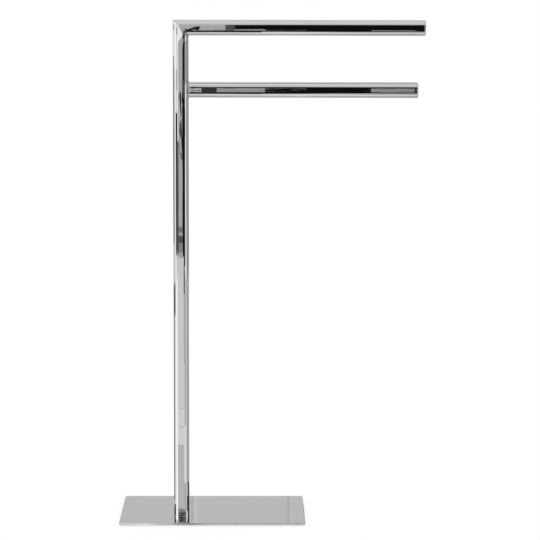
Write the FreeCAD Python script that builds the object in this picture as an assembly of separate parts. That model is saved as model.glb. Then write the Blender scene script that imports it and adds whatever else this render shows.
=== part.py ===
"""Freestanding towel stand: a chromed tube frame on a flat floor plate.

Millimetres, +Z up. The origin is on the floor, under the middle of the stand's
outline. The front is -Y and the arms point to +X.
"""
import FreeCAD, Part
import os

from FreeCAD import Rotation, Vector

# Floor plate: a laser-cut steel sheet with rounded corners and softened edges.
PLATE_WIDTH = 300.0
PLATE_DEPTH = 200.0
PLATE_THICKNESS = 4.0
PLATE_CORNER_RADIUS = 6.0
PLATE_TOP_EDGE_RADIUS = 0.8
PLATE_LOWER_EDGE_CHAMFER = 0.4

# Stick-on rubber pads, one near each corner of the plate.
PAD_DIAMETER = 18.0
PAD_THICKNESS = 1.5
PAD_EDGE_CHAMFER = 0.3
PAD_INSET = 20.0

# Rounded-square tube that the post and both arms are cut from.
TUBE_WIDTH = 25.0
TUBE_CORNER_RADIUS = 8.0
TUBE_WALL = 1.5

# Heights and lengths of the frame.
STAND_HEIGHT = 810.0
LOWER_ARM_CENTRE_HEIGHT = 700.0
UPPER_ARM_LENGTH = 398.0  # from the post's left face to the outside of the end cap
LOWER_ARM_LENGTH = 362.0  # from the post's right face to the outside of the end cap
POST_FROM_PLATE_LEFT = 88.5  # plate's left edge to the post's left face
POST_FROM_PLATE_FRONT = 1.5  # plate's front edge to the post's front face
VENT_HOLE_DIAMETER = 10.0  # lets the plating bath drain out of the lower arm

# Welds: round the lower arm's root, and in the inside corner of the mitre.
WELD_LEG = 1.2
WELD_FILL_DEPTH = 2.0
WELD_FILL_INSET = 5.3
WELD_ROOT_INSET = 4.5
MITRE_WELD_LENGTH = 13.0
MITRE_WELD_REACH = 3.0

# Push-in end cap: a flange flush with the tube, a hollow spigot and grip ribs.
CAP_FLANGE = 3.0
CAP_EDGE_CHAMFER = 0.7
CAP_SPIGOT_LENGTH = 18.0
CAP_SPIGOT_GAP = 0.8
CAP_SPIGOT_WALL = 1.6
CAP_RIB_WIDTH = 1.2
CAP_RIB_SPACING = 3.5
CAP_RIB_LEAD_IN = 2.0

# Steel plug in the post's foot, and the two M5 screws that pull the plate up to it.
PLUG_HEIGHT = 25.0
PLUG_RECESS = 0.2
PLUG_LEAD_IN = 1.0
TAPPED_HOLE_DEPTH = 15.0
DRILL_POINT_SLOPE = 0.6  # depth of the drill point for each millimetre of its radius
SCREW_SPACING = 11.6
SCREW_DIAMETER = 5.0
SCREW_LENGTH = 16.0
SCREW_HEAD_DIAMETER = 10.0
SCREW_HEAD_RIM = 0.4
SCREW_HEAD_RECESS = 0.2
SCREW_HEAD_GAP = 0.1
SCREW_THREAD_GAP = 0.05
SCREW_POINT_CHAMFER = 0.6
SCREW_SOCKET_ACROSS_FLATS = 3.0
SCREW_SOCKET_DEPTH = 1.9
PLATE_HOLE_DIAMETER = 5.5

# Places that follow from the sizes above.
HALF_TUBE = TUBE_WIDTH / 2
LEFT_OF_POST = POST_FROM_PLATE_LEFT + HALF_TUBE
RIGHT_OF_POST = UPPER_ARM_LENGTH - HALF_TUBE
POST_X = (LEFT_OF_POST - RIGHT_OF_POST) / 2
POST_Y = POST_FROM_PLATE_FRONT + HALF_TUBE - PLATE_DEPTH / 2
PLATE_X = POST_X - LEFT_OF_POST + PLATE_WIDTH / 2
PLATE_TOP = PAD_THICKNESS + PLATE_THICKNESS
UPPER_ARM_CENTRE_HEIGHT = STAND_HEIGHT - HALF_TUBE
UPPER_ARM_END = POST_X + RIGHT_OF_POST
LOWER_ARM_ROOT = POST_X + HALF_TUBE
LOWER_ARM_END = LOWER_ARM_ROOT + LOWER_ARM_LENGTH

UPRIGHT = Rotation()
ALONG_ARM = Rotation(Vector(0, 1, 0), 90)  # turns a section drawn in XY to face +X


def rounded_square(width, radius, centre, turn):
    """Closed outline of the tube's section, centred on a point and facing a direction."""
    flat = width / 2 - radius
    middle = radius * (1 - 0.5 ** 0.5)
    edges = []
    for quarter in range(4):
        side = Rotation(Vector(0, 0, 1), 90 * quarter)
        place = FreeCAD.Placement(centre, turn.multiply(side))
        start, end = Vector(width / 2, -flat, 0), Vector(width / 2, flat, 0)
        corner = Vector(width / 2 - middle, width / 2 - middle, 0)
        next_start = Vector(flat, width / 2, 0)
        points = [place.multVec(point) for point in (start, end, corner, next_start)]
        edges.append(Part.LineSegment(points[0], points[1]).toShape())
        edges.append(Part.Arc(points[1], points[2], points[3]).toShape())
    return Part.Wire(edges)


def tube_section(inset, centre, turn):
    """The tube's outer outline, drawn in by the inset, or let out where it is negative."""
    return rounded_square(TUBE_WIDTH - 2 * inset, TUBE_CORNER_RADIUS - inset, centre, turn)


def bar(inset, start, length, turn):
    """Solid bar of the tube's outline, drawn in by the inset, from its start point."""
    along = turn.multVec(Vector(0, 0, length))
    return Part.Face(tube_section(inset, start, turn)).extrude(along)


def tapered_bar(start_inset, end_inset, start, length, turn):
    """Bar whose outline changes evenly from one inset to another."""
    end = start + turn.multVec(Vector(0, 0, length))
    return Part.makeLoft([tube_section(start_inset, start, turn), tube_section(end_inset, end, turn)],
                         True, True)


def hollow_tube(start, length, turn):
    """Length of tube, open at both ends."""
    return bar(0, start, length, turn).cut(bar(TUBE_WALL, start, length, turn))


def arm_point(x, height):
    """Point on an arm's centre line."""
    return Vector(x, POST_Y, height)


def mitre_block(side):
    """Block that ends on the corner's 45 degree plane: side 1 lies over the arm, -1 over the post."""
    corner = arm_point(POST_X, UPPER_ARM_CENTRE_HEIGHT)
    reach = STAND_HEIGHT
    block = Part.makeBox(reach, reach, reach, Vector(-reach / 2, -reach / 2, 0))
    normal = Vector(side, 0, side)
    block.Placement = FreeCAD.Placement(corner, Rotation(Vector(0, 0, 1), normal))
    return block


def post_bar(inset):
    """The post's outline as a solid bar, from the plate up to the stand's top."""
    foot = Vector(POST_X, POST_Y, PLATE_TOP)
    return bar(inset, foot, STAND_HEIGHT - PLATE_TOP, UPRIGHT)


def post_tube():
    """Upright tube, mitred at the top, with the vent hole behind the lower arm."""
    vent = Part.makeCylinder(VENT_HOLE_DIAMETER / 2, TUBE_WIDTH,
                             arm_point(POST_X, LOWER_ARM_CENTRE_HEIGHT), Vector(1, 0, 0))
    return post_bar(0).cut(post_bar(TUBE_WALL)).cut(mitre_block(1)).cut(vent)


def upper_arm_tube():
    """Upper arm, mitred to the post's top, stopping short of its end cap."""
    start = arm_point(POST_X - HALF_TUBE, UPPER_ARM_CENTRE_HEIGHT)
    length = UPPER_ARM_LENGTH - CAP_FLANGE
    return hollow_tube(start, length, ALONG_ARM).cut(mitre_block(-1))


def lower_arm_tube():
    """Lower arm, cut square and butted on the flat of the post's right side."""
    start = arm_point(LOWER_ARM_ROOT, LOWER_ARM_CENTRE_HEIGHT)
    return hollow_tube(start, LOWER_ARM_LENGTH - CAP_FLANGE, ALONG_ARM)


def lower_arm_weld():
    """Weld ring: a small fillet, and the fill that the post's round corners leave room for."""
    root = arm_point(LOWER_ARM_ROOT, LOWER_ARM_CENTRE_HEIGHT)
    start = root - Vector(WELD_FILL_DEPTH, 0, 0)
    fillet = tapered_bar(-WELD_LEG, 0, root, WELD_LEG, ALONG_ARM).cut(bar(0, root, WELD_LEG, ALONG_ARM))
    toe = tapered_bar(WELD_FILL_INSET - WELD_LEG, -WELD_LEG, start, WELD_FILL_DEPTH, ALONG_ARM)
    fill = tapered_bar(WELD_FILL_INSET, 0, start, WELD_FILL_DEPTH, ALONG_ARM)
    ring = fillet.fuse(toe).common(post_bar(-WELD_LEG)).fuse(fill)
    bore = bar(WELD_ROOT_INSET, start, WELD_FILL_DEPTH, ALONG_ARM)
    return ring.cut(bore).cut(post_bar(0)).removeSplitter()


def mitre_weld():
    """Hollow fillet in the mitre's inside corner, the one place that is too tight to grind flush."""
    corner = arm_point(POST_X + HALF_TUBE, UPPER_ARM_CENTRE_HEIGHT - HALF_TUBE)
    corner -= Vector(0, MITRE_WELD_LENGTH / 2, 0)
    arm_toe = corner + Vector(WELD_LEG, 0, 0)
    post_toe = corner - Vector(0, 0, WELD_LEG)
    middle = WELD_LEG * (1 - 0.5 ** 0.5)
    into_joint = Vector(-MITRE_WELD_REACH, 0, MITRE_WELD_REACH)
    face = Part.Arc(arm_toe, corner + Vector(middle, 0, -middle), post_toe)
    sides = Part.makePolygon([post_toe, post_toe + into_joint, arm_toe + into_joint, arm_toe])
    outline = Part.Wire([face.toShape()] + sides.Edges)
    run = Part.Face(outline).extrude(Vector(0, MITRE_WELD_LENGTH, 0))
    arm = bar(0, arm_point(POST_X - HALF_TUBE, UPPER_ARM_CENTRE_HEIGHT), UPPER_ARM_LENGTH, ALONG_ARM)
    return run.cut([post_bar(0), arm])


def end_cap(end_x, height):
    """Push-in cap: flange with a broken edge, hollow spigot, and ribs that grip the tube."""
    seat = arm_point(end_x - CAP_FLANGE, height)
    flange = bar(0, seat, CAP_FLANGE, ALONG_ARM)
    rim = [edge for edge in flange.Edges if edge.BoundBox.XMin > end_x - CAP_FLANGE / 2]
    flange = flange.makeChamfer(CAP_EDGE_CHAMFER, rim)
    spigot_start = seat - Vector(CAP_SPIGOT_LENGTH, 0, 0)
    outer = TUBE_WALL + CAP_SPIGOT_GAP
    spigot = bar(outer, spigot_start, CAP_SPIGOT_LENGTH, ALONG_ARM)
    core = bar(outer + CAP_SPIGOT_WALL, spigot_start, CAP_SPIGOT_LENGTH, ALONG_ARM)
    ribs = cap_ribs(spigot_start).cut(core)
    return flange.fuse([spigot.cut(core), ribs]).removeSplitter()


def cap_ribs(spigot_start):
    """Three grip ribs on each side of the spigot, tapered at the end that goes in first."""
    bore = bar(TUBE_WALL, spigot_start + Vector(CAP_RIB_LEAD_IN, 0, 0),
               CAP_SPIGOT_LENGTH - CAP_RIB_LEAD_IN, ALONG_ARM)
    lead_in = tapered_bar(TUBE_WALL + CAP_SPIGOT_GAP, TUBE_WALL, spigot_start,
                          CAP_RIB_LEAD_IN, ALONG_ARM)
    slabs = []
    for row in (-1, 0, 1):
        shift = row * CAP_RIB_SPACING - CAP_RIB_WIDTH / 2
        across_y = Vector(0, -HALF_TUBE, shift)
        across_z = Vector(0, shift, -HALF_TUBE)
        slabs.append(Part.makeBox(CAP_SPIGOT_LENGTH, TUBE_WIDTH, CAP_RIB_WIDTH,
                                  spigot_start + across_y))
        slabs.append(Part.makeBox(CAP_SPIGOT_LENGTH, CAP_RIB_WIDTH, TUBE_WIDTH,
                                  spigot_start + across_z))
    return slabs[0].fuse(slabs[1:]).common(bore.fuse(lead_in))


def screw_places():
    """Where each base screw's axis meets the plate's underside, side by side under the post."""
    return [Vector(POST_X + side * SCREW_SPACING / 2, POST_Y, PAD_THICKNESS) for side in (-1, 1)]


def turned(place, half_section):
    """Solid of revolution on an upright axis, from its outline as radius and height pairs."""
    outline = [place + Vector(radius, 0, height) for radius, height in half_section]
    return Part.Face(Part.makePolygon(outline + outline[:1])).revolve(place, Vector(0, 0, 1), 360)


def countersunk_hole(place):
    """The hole that a screw passes through, with the seat for its head."""
    hole = PLATE_HOLE_DIAMETER / 2
    mouth = SCREW_HEAD_DIAMETER / 2 + SCREW_HEAD_GAP
    rim = SCREW_HEAD_RECESS + SCREW_HEAD_RIM - SCREW_HEAD_GAP
    return turned(place, [(0, 0), (mouth, 0), (mouth, rim), (hole, rim + mouth - hole),
                          (hole, PLATE_THICKNESS), (0, PLATE_THICKNESS)])


def base_plate():
    """Floor plate with softened edges and two countersunk screw holes."""
    plate = Part.makeBox(PLATE_WIDTH, PLATE_DEPTH, PLATE_THICKNESS,
                         Vector(PLATE_X - PLATE_WIDTH / 2, -PLATE_DEPTH / 2, PAD_THICKNESS))
    upright = [edge for edge in plate.Edges if edge.BoundBox.ZLength > PLATE_THICKNESS / 2]
    plate = plate.makeFillet(PLATE_CORNER_RADIUS, upright)
    middle = PAD_THICKNESS + PLATE_THICKNESS / 2
    top_edges = [edge for edge in plate.Edges if edge.BoundBox.ZMin > middle]
    plate = plate.makeFillet(PLATE_TOP_EDGE_RADIUS, top_edges)
    lower_edges = [edge for edge in plate.Edges if edge.BoundBox.ZMax < middle]
    plate = plate.makeChamfer(PLATE_LOWER_EDGE_CHAMFER, lower_edges)
    return plate.cut([countersunk_hole(place) for place in screw_places()])


def post_foot_plug():
    """Steel plug pressed into the post's foot, with a tapped hole over each plate hole."""
    foot = Vector(POST_X, POST_Y, PLATE_TOP + PLUG_RECESS)
    body = bar(TUBE_WALL, foot, PLUG_HEIGHT - PLUG_LEAD_IN, UPRIGHT)
    shoulder = foot + Vector(0, 0, PLUG_HEIGHT - PLUG_LEAD_IN)
    lead_in = tapered_bar(TUBE_WALL, TUBE_WALL + PLUG_LEAD_IN, shoulder, PLUG_LEAD_IN, UPRIGHT)
    radius = SCREW_DIAMETER / 2 + SCREW_THREAD_GAP
    point = TAPPED_HOLE_DEPTH + radius * DRILL_POINT_SLOPE
    half_section = [(0, 0), (radius, 0), (radius, TAPPED_HOLE_DEPTH), (0, point)]
    mouths = [Vector(place.x, place.y, foot.z) for place in screw_places()]
    return body.fuse(lead_in).cut([turned(mouth, half_section) for mouth in mouths])


def base_screw(place):
    """Countersunk socket screw, its head just inside the plate's underside."""
    start = place + Vector(0, 0, SCREW_HEAD_RECESS)
    head = SCREW_HEAD_DIAMETER / 2
    shank = SCREW_DIAMETER / 2
    screw = turned(start, [(0, 0), (head, 0), (head, SCREW_HEAD_RIM),
                           (shank, SCREW_HEAD_RIM + head - shank),
                           (shank, SCREW_LENGTH - SCREW_POINT_CHAMFER),
                           (shank - SCREW_POINT_CHAMFER, SCREW_LENGTH), (0, SCREW_LENGTH)])
    socket = Part.Face(hexagon(SCREW_SOCKET_ACROSS_FLATS, start))
    return screw.cut(socket.extrude(Vector(0, 0, SCREW_SOCKET_DEPTH)))


def hexagon(across_flats, centre):
    """Closed six-sided outline, level, round a point."""
    spoke = Vector(across_flats / 3 ** 0.5, 0, 0)
    corners = [centre + Rotation(Vector(0, 0, 1), 60 * turn).multVec(spoke) for turn in range(7)]
    return Part.makePolygon(corners)


def anti_slip_pad(side_x, side_y):
    """Round rubber pad under one corner of the plate, its lower rim softened."""
    reach_x = PLATE_WIDTH / 2 - PAD_INSET
    reach_y = PLATE_DEPTH / 2 - PAD_INSET
    centre = Vector(PLATE_X + side_x * reach_x, side_y * reach_y, 0)
    pad = Part.makeCylinder(PAD_DIAMETER / 2, PAD_THICKNESS, centre)
    rim = [edge for edge in pad.Edges if edge.BoundBox.ZMax < PAD_EDGE_CHAMFER]
    return pad.makeChamfer(PAD_EDGE_CHAMFER, rim)


def towel_stand():
    """Every piece of the stand by its name."""
    pieces = {
        "base_plate": base_plate(),
        "post_tube": post_tube(),
        "upper_arm_tube": upper_arm_tube(),
        "lower_arm_tube": lower_arm_tube(),
        "lower_arm_weld": lower_arm_weld(),
        "mitre_weld": mitre_weld(),
        "upper_arm_end_cap": end_cap(UPPER_ARM_END, UPPER_ARM_CENTRE_HEIGHT),
        "lower_arm_end_cap": end_cap(LOWER_ARM_END, LOWER_ARM_CENTRE_HEIGHT),
        "post_foot_plug": post_foot_plug(),
    }
    for number, place in enumerate(screw_places(), 1):
        pieces[f"base_screw_{number}"] = base_screw(place)
    corners = [(-1, -1), (1, -1), (-1, 1), (1, 1)]
    for number, (side_x, side_y) in enumerate(corners, 1):
        pieces[f"anti_slip_pad_{number}"] = anti_slip_pad(side_x, side_y)
    return pieces


os.makedirs("parts", exist_ok=True)
for name, shape in towel_stand().items():
    solid = shape.Solids[0] if len(shape.Solids) == 1 else shape
    solid.exportStep(f"parts/{name}.step")
    print(f"{name}: {len(shape.Solids)} solid, {shape.Volume / 1000:.2f} cm3, valid {shape.isValid()}")
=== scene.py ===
"""Looks of a freestanding towel stand: bright chromed tube on a flat chromed floor plate.

Metres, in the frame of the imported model: +Z up, the front is -Y, the arms point to +X.
"""
import math

import bmesh
import bpy
from mathutils import Matrix, Vector


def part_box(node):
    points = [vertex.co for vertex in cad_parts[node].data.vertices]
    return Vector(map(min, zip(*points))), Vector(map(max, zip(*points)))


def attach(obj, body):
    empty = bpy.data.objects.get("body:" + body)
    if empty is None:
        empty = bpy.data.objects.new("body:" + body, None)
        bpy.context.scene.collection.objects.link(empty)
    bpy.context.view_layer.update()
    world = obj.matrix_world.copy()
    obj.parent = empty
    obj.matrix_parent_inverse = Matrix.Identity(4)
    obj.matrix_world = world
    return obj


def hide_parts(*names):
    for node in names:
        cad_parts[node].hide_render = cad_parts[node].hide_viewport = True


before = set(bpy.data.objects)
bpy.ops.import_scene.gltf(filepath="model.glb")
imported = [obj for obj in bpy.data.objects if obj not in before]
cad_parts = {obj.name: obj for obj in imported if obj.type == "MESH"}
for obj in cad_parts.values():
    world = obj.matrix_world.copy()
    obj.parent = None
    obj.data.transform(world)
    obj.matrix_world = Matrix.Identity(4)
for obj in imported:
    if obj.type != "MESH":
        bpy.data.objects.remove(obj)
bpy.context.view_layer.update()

# ---------------------------------------------------------------- camera
# A portrait lens from about three and a half metres in front, level with the stand's
# top and looking a little down, so the top of the floor plate shows as a thin band.
MM = 0.001
CAMERA_PLACE = Vector((-33.9, -3650.0, 841.6)) * MM
CAMERA_DOWN = math.radians(6.845)
CAMERA_RIGHT = math.radians(0.53)
CAMERA_ROLL = math.radians(0.12)
CAMERA_LENS = 150.18
SENSOR_WIDTH = 36.0

camera_data = bpy.data.cameras.new("camera")
camera_data.lens = CAMERA_LENS
camera_data.sensor_width = SENSOR_WIDTH
camera_data.clip_end = 60
camera = bpy.data.objects.new("camera", camera_data)
bpy.context.scene.collection.objects.link(camera)
look = (Matrix.Rotation(-CAMERA_RIGHT, 4, "Z")
        @ Matrix.Rotation(math.pi / 2 - CAMERA_DOWN, 4, "X")
        @ Matrix.Rotation(CAMERA_ROLL, 4, "Z"))
camera.matrix_world = Matrix.Translation(CAMERA_PLACE) @ look
bpy.context.scene.camera = camera
bpy.context.scene.view_settings.view_transform = "Standard"


# ---------------------------------------------------------------- white floor and background
# A sheet of white studio paper under a white surround. The camera and the reflections see both
# as plain white, and only the soft shadow of the stand shows on the paper.
PAPER_HALF_WIDTH = 12.0
PAPER_WHITE = "F6F6F4"
PAPER_PLAIN_SHARE = 0.7
SURROUND_LIGHT = 1.0


def linear(hex_colour):
    """sRGB hex to linear RGBA."""
    values = [int(hex_colour[i:i + 2], 16) / 255 for i in (0, 2, 4)]
    return [v / 12.92 if v <= 0.04045 else ((v + 0.055) / 1.055) ** 2.4 for v in values] + [1.0]


def add_node(tree, kind, links=(), **settings):
    """Adds a node: settings name its properties or sockets, links pair a socket with its source.

    The source is a socket, a node for its first output, or a plain number, vector or colour.
    """
    node = tree.nodes.new(kind)
    for name, value in settings.items():
        if hasattr(node, name):
            setattr(node, name, value)
        else:
            node.inputs[name.replace("_", " ")].default_value = value
    for name, source in links:
        if isinstance(source, bpy.types.Node):
            source = source.outputs[0]
        if isinstance(source, bpy.types.NodeSocket):
            tree.links.new(source, node.inputs[name])
        else:
            node.inputs[name].default_value = source
    return node


def seen_directly(tree):
    """Node that gives 1 for what the camera sees itself, in a mirror or through glass."""
    ray = add_node(tree, "ShaderNodeLightPath").outputs
    bounce = add_node(tree, "ShaderNodeMath",
                      [(0, ray["Is Glossy Ray"]), (1, ray["Is Transmission Ray"])], operation="MAXIMUM")
    either = add_node(tree, "ShaderNodeMath", [(0, ray["Is Camera Ray"]), (1, bounce)],
                      operation="MAXIMUM")
    return either


def new_material(name):
    """Empty node material and its tree."""
    material = bpy.data.materials.new(name)
    material.use_nodes = True
    material.node_tree.nodes.clear()
    return material, material.node_tree


def mesh_object(name, vertices, faces, material=None):
    """Mesh object at the origin, linked to the scene."""
    mesh = bpy.data.meshes.new(name)
    mesh.from_pydata(vertices, [], faces)
    mesh.update()
    piece = bpy.data.objects.new(name, mesh)
    bpy.context.scene.collection.objects.link(piece)
    if material:
        mesh.materials.append(material)
    return piece


paper_material, paper_tree = new_material("white_studio_paper")
paper = add_node(paper_tree, "ShaderNodeBsdfDiffuse", Color=linear(PAPER_WHITE))
plain_white = add_node(paper_tree, "ShaderNodeEmission", Strength=1.0)
plain_share = add_node(paper_tree, "ShaderNodeMath", [(0, seen_directly(paper_tree)),
                                                      (1, PAPER_PLAIN_SHARE)], operation="MULTIPLY")
paper_mix = add_node(paper_tree, "ShaderNodeMixShader",
                     [(0, plain_share), (1, paper), (2, plain_white)])
add_node(paper_tree, "ShaderNodeOutputMaterial", [("Surface", paper_mix)])

PAPER_CORNERS = [(-1, -1), (1, -1), (1, 1), (-1, 1)]
paper_sheet = mesh_object("paper_sheet",
                          [(x * PAPER_HALF_WIDTH, y * PAPER_HALF_WIDTH, 0) for x, y in PAPER_CORNERS],
                          [(0, 1, 2, 3)], paper_material)

world = bpy.data.worlds.new("white_surround")
world.use_nodes = True
world.node_tree.nodes.clear()
surround_strength = add_node(world.node_tree, "ShaderNodeMapRange",
                             [("Value", seen_directly(world.node_tree))], To_Min=SURROUND_LIGHT,
                             To_Max=1.0)
surround = add_node(world.node_tree, "ShaderNodeBackground", [("Strength", surround_strength)],
                    Color=(1, 1, 1, 1))
add_node(world.node_tree, "ShaderNodeOutputWorld", [("Surface", surround)])
bpy.context.scene.world = world

# ---------------------------------------------------------------- studio cards and lamp
# What polished metal needs round it: pale walls and paper, black flags, a bright softbox on
# the left and one soft lamp overhead. The cards show only in the metal, never by themselves.
LAMP_STRENGTH = 0.35
LAMP_SPREAD = math.radians(70)
STUDIO_MIDDLE = Vector((-142, -86, 0))  # millimetres: the foot of the post
ON_PAPER = 0.4  # millimetres above the floor
ON_PLATE = 5.8  # and the same above the floor plate
# boards that stand: azimuth from and to (0 is the front, right is positive), distance from the
# post's foot, height from and to, brightness; a mottled one has a darker tone and a patch size
STANDING_CARDS = {
    "pale_board_high": (-38, 40, 5020, 877, 3300, 0.84),
    "dark_board_front_left": (-60, -18, 3280, 88, 510, 0.03),
    "dark_board_front": (-16, -3.6, 3600, 35, 395, 0.1),
    "bright_board_front": (-16, -3.6, 3620, 395, 900, 1.45),
    "pale_board_front_left": (-47, -16, 3640, 480, 900, 1.15),
    "dark_card_left": (-34, -19, 3300, 570, 632, 0.03),
    "grey_board_front": (-3.8, 0.6, 3800, 0, 900, 0.66),
    "bar_upper": (-3.6, -0.3, 3700, 94, 112, 0.28),
    "bar_lower": (-3.6, -0.3, 3700, 60, 84, 0.14),
    "grey_strip_low": (-3.6, -0.3, 3700, 30, 60, 0.38),
    "black_flag_right": (2.4, 16, 3600, 0, 1330, 0.008),
    "black_flag_high": (0.5, 2.5, 3590, 690, 1230, 0.008),
    "grey_board_middle": (-0.05, 2.5, 3590, 440, 690, 0.5),
    "black_flag_low": (-0.1, 2.5, 3620, 30, 440, 0.02),
    "black_strip_near": (0.3, 2.1, 200, 415, 780, 0.008),
    "dark_card_arm_root": (2.55, 5.6, 505, 640, 714, 0.06),
    "dark_card_mitre": (1.6, 2.3, 495, 770, 803, 0.03),
    "pale_card_mitre": (1.0, 5.0, 400, 805, 850, 0.7),
    "grey_block_high": (0.5, 0.97, 3580, 640, 1230, 0.13),
    "black_bar_near": (0.8, 15.2, 512, 697.2, 769, 0.012),
    "black_bar_near_low": (1.5, 28.5, 270, 575, 676.4, 0.012),
    "black_card_near": (-0.5, 19.5, 1540, 330, 600, 0.02),
    "dark_board_right": (16, 40, 3620, 0, 1230, 0.12),
    "softbox_left": (-72, -47, 3300, 0, 2400, 1.6),
    "pale_board_left": (-102, -72, 3300, 0, 640, 1.05),
    "bright_board_left": (-102, -72, 3300, 640, 900, 1.45),
    "pale_board_left_high": (-140, -98, 4500, 650, 810, 1.3),
    "grey_board_left": (-140, -98, 4500, 400, 650, 0.25),
    "dark_board_left_low": (-140, -98, 4500, 0, 400, 0.05),
    "dark_board_left": (-140, -90, 4500, 810, 2600, 0.15),
    "pale_board_right": (38, 64, 3300, 0, 2400, 1.4),
    "grey_board_right_high": (38, 63, 3280, 590, 900, 0.65),
    "grey_board_far_right": (64, 140, 4000, 0, 690, 0.46),
    "dark_board_far_right": (64, 140, 3950, 690, 2600, 0.19),
    "pale_board_back": (130, 230, 4200, 0, 2600, 0.71),
    "dark_skirt_right_near": (60, 120.7, 100, ON_PLATE, 32, 0.07),
    "dark_skirt_right": (85, 125, 245, 0, 23, 0.07),
    "dark_skirt_left": (-104.9, -70, 60, ON_PLATE, 25, 0.05),
    # each back pole is two glowing strips: painted shade on its darker side and painted light on its
    # _lit side
    "pole_back_left": (180.99, 181.19, 2600, 300, 1100, 0.62),
    "pole_back_left_lit": (180.85, 180.99, 2600, 300, 1100, 0.82),
    "pole_back_right": (175.12, 175.26, 2600, 300, 1100, 0.58),
    "pole_back_right_lit": (174.99, 175.12, 2600, 300, 1100, 0.75),
    "mottled_card_front": (-3.4, -0.25, 3700, 330, 545, 0.9, 0.04, 55),
    "mottled_card_arm": (2.5, 7.8, 3590, 500, 655, 0.14, 0.006, 50),
    "grey_card_arm_end": (7.9, 10.1, 3560, 430, 655, 0.46, 0.36, 60),
}
# sheets that lie flat: azimuth from and to, distance from and to, height, then as above
LYING_CARDS = {
    "black_shelf_near": (1.5, 40, 455, 1540, 600, 0.012),
    "floor_near_right": (1.5, 45, 330, 900, ON_PLATE, 1.2),
    "floor_near": (-23, 16, 118, 720, ON_PAPER, 0.82),
    "floor_bright_sheet": (-23, 16, 915, 1115, ON_PAPER, 1.12),
    "floor_bright_sheet_near": (-23, 16, 720, 900, ON_PAPER, 1.12),
    "floor_sheet_joint": (-23, 16, 900, 915, ON_PAPER, 0.88),
    "floor_sheet_edge": (-23, 16, 1115, 1125, ON_PAPER, 0.85),
    "floor_far": (-23, 16, 1125, 3600, ON_PAPER, 1.04),
    "floor_dark_strip": (1.2, 16, 2900, 3600, 2 * ON_PAPER, 0.02),
    "floor_dark_strip_near": (3, 8, 1650, 2900, 2 * ON_PAPER, 0.02),
    "floor_left": (-72, -23, 60, 3500, ON_PAPER, 1.6),
    "floor_left_side": (-102, -72, 200, 2500, ON_PAPER, 1.1),
    "floor_left_band": (-102, -72, 2500, 3200, ON_PAPER, 0.25),
    "floor_right_shade": (16, 38, 118, 3500, ON_PAPER, 0.6),
    "floor_right_far": (64, 140, 260, 3900, ON_PAPER, 0.62),
    "floor_left_far": (-140, -102, 200, 3200, ON_PAPER, 0.2),
    "mottled_mat_at_foot": (-20, 38, 30, 152, ON_PAPER, 0.42, 0.005, 7),
}
CEILING_CARD = (-50, 50, (3000, 2600), (900, 2900), 1.1)  # its edges: distance and height
MOTTLE_FROM = 0.44  # the share of the mottle's range that turns from dark to bright
MOTTLE_TO = 0.6


def around_post(azimuth, distance, height):
    """Place at an azimuth and distance from the post's foot."""
    angle = math.radians(azimuth)
    step = Vector((math.sin(angle) * distance, -math.cos(angle) * distance, height))
    return (STUDIO_MIDDLE + step) * MM


def studio_card(name, left, right, lower, upper, brightness, darker=None, patch=None):
    """Flat board that shows only in reflections, plain or mottled between two tones."""
    material, tree = new_material(name + "_glow")
    glow = add_node(tree, "ShaderNodeEmission", Strength=brightness)
    add_node(tree, "ShaderNodeOutputMaterial", [("Surface", glow)])
    if darker is not None:
        place = add_node(tree, "ShaderNodeTexCoord").outputs["Object"]
        cloud = add_node(tree, "ShaderNodeTexNoise", [("Vector", place)], Scale=1 / (patch * MM),
                         Detail=2.0)
        tone = add_node(tree, "ShaderNodeMapRange", [("Value", cloud)], From_Min=MOTTLE_FROM,
                        From_Max=MOTTLE_TO, To_Min=darker, To_Max=brightness)
        tree.links.new(tone.outputs[0], glow.inputs["Strength"])
    corners = [around_post(left, *lower), around_post(right, *lower),
               around_post(right, *upper), around_post(left, *upper)]
    card = mesh_object(name, corners, [(0, 1, 2, 3)], material)
    card.visible_camera = False
    card.visible_diffuse = False
    card.visible_shadow = False


for name, (left, right, distance, low, high, *tones) in STANDING_CARDS.items():
    studio_card(name, left, right, (distance, low), (distance, high), *tones)
for name, (left, right, near, far, height, *tones) in LYING_CARDS.items():
    studio_card(name, left, right, (near, height), (far, height), *tones)
studio_card("ceiling_front", *CEILING_CARD)

lamp_data = bpy.data.lights.new("overhead_softbox", "SUN")
lamp_data.energy = LAMP_STRENGTH
lamp_data.angle = LAMP_SPREAD
lamp = bpy.data.objects.new("overhead_softbox", lamp_data)
lamp.visible_glossy = False
bpy.context.scene.collection.objects.link(lamp)


# ---------------------------------------------------------------- base plate
# The flat floor plate: 4 mm steel sheet, laser cut, its faces polished and its edges broken,
# then nickel and chrome plated. Two countersunk holes underneath take the post's screws.
plate_low, plate_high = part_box("base_plate")
PLATE_CORNER_RADIUS = 6 * MM
PLATE_TOP_RADIUS = 0.8 * MM
PLATE_LOWER_CHAMFER = 0.4 * MM
PLATE_WAVES = (90 * MM, 90 * MM, 90 * MM)
PLATE_WAVE_HEIGHT = 0.02 * MM
PLATE_ROUGHNESS = 0.04
EDGE_TURNS = [math.pi / 2 * step / 6 for step in range(7)]
CORNER_STEPS = 20
HOLE_RADIUS = 2.75 * MM
SINK_RADIUS = 5.1 * MM
SINK_RIM = 0.5 * MM
# radius and height up a screw hole: countersink rim, cone, and clearance hole
HOLE_WALL = [(SINK_RADIUS, plate_low.z), (SINK_RADIUS, plate_low.z + SINK_RIM),
             (HOLE_RADIUS, plate_low.z + SINK_RIM + SINK_RADIUS - HOLE_RADIUS),
             (HOLE_RADIUS, plate_high.z)]
CHROME_FACE = "C9C8C6"
CHROME_SHADE = "C0BFBD"
JOINT_SWELL_REACH = 9 * MM
CUT_EDGE_ROUGHNESS = 0.3
CUT_EDGE_BELOW_TOP = 0.02 * MM


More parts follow.
